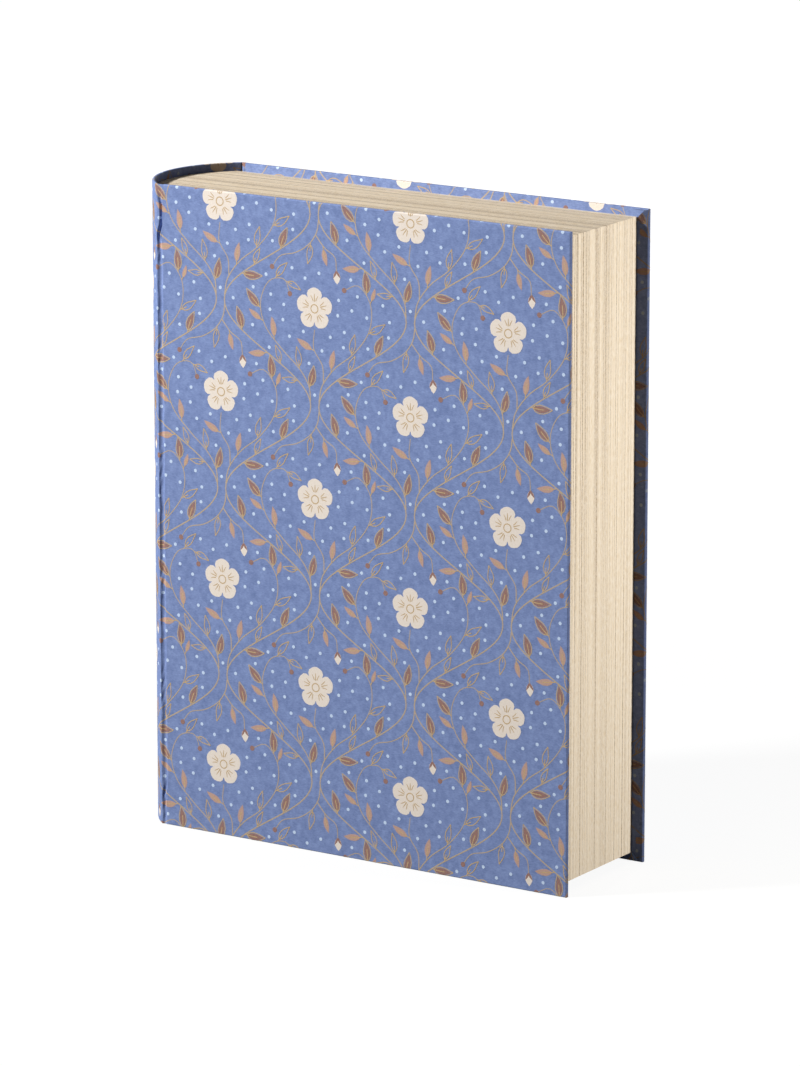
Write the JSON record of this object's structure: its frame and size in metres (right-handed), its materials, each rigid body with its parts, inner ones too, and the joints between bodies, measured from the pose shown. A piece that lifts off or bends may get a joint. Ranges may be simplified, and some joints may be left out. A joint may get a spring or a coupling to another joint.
{
  "type": "book box",
  "caption": "Book-shaped keepsake box with a rounded spine: the front cover is a hinged lid over a lined tray whose walls look like page edges.",
  "frame": {"origin": "middle of the footprint, on the surface that the covers' tail edges stand on", "axes": "+Z from tail to head, +X from the spine to the fore edge, +Y from the front cover to the back cover"},
  "size_m": [0.259, 0.075, 0.33],
  "materials": {
    "printed_paper": "satin",
    "page_paper": "matte",
    "lining_paper": "matte",
    "greyboard": "matte",
    "spine_card": "matte",
    "gummed_tape": "matte",
    "magnet_steel": "satin"
  },
  "bodies": {
    "case": {"back_board": "greyboard", "back_cover_paper": "printed_paper", "spine_card": "spine_card", "spine_paper": "printed_paper", "tray_floor": "greyboard", "head_wall": "greyboard", "tail_wall": "greyboard", "fore_edge_wall": "greyboard", "spine_side_wall": "greyboard", "corner_stays": "gummed_tape", "head_page_paper": "page_paper", "tail_page_paper": "page_paper", "fore_edge_page_paper": "page_paper", "floor_lining": "lining_paper", "head_lining": "lining_paper", "tail_lining": "lining_paper", "fore_edge_lining": "lining_paper", "spine_side_lining": "lining_paper", "tray_magnets": "magnet_steel", "joint_paper": "printed_paper", "joint_liner": "lining_paper"},
    "lid": {"front_board": "greyboard", "front_cover_paper": "printed_paper", "lid_lining": "lining_paper", "lid_keepers": "magnet_steel"}
  },
  "joints": [
    {"name": "lid_hinge", "type": "hinge", "parent": "case", "child": "lid", "pos_m": [-0.1095, -0.038, 0.165], "axis": [0, 0, -1], "range_deg": [0, 178], "deforming": ["joint_paper", "joint_liner"]}
  ]
}
